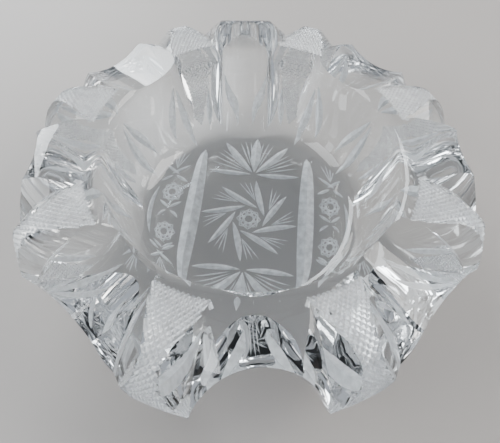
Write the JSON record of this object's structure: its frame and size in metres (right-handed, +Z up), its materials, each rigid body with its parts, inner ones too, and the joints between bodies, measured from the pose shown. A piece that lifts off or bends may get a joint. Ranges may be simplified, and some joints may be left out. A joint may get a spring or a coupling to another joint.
{
  "type": "crystal ash dish",
  "caption": "Heavy round dish of thick clear cut crystal with a scalloped, fluted and cross-hatched wall, rests across the rim and star cutting under the base.",
  "frame": {"origin": "middle of the flat foot, on the surface the dish stands on", "axes": "+Z up out of the bowl; +Y and +X each point through the middle of a deep flute, with the cigarette rests half way between"},
  "size_m": [0.1904, 0.1904, 0.058],
  "materials": {
    "lead_crystal": "clear polished lead crystal, with softly frosted wheel-cut facets"
  },
  "bodies": {
    "root": {"cut_glass_dish": "lead_crystal"}
  },
  "joints": []
}
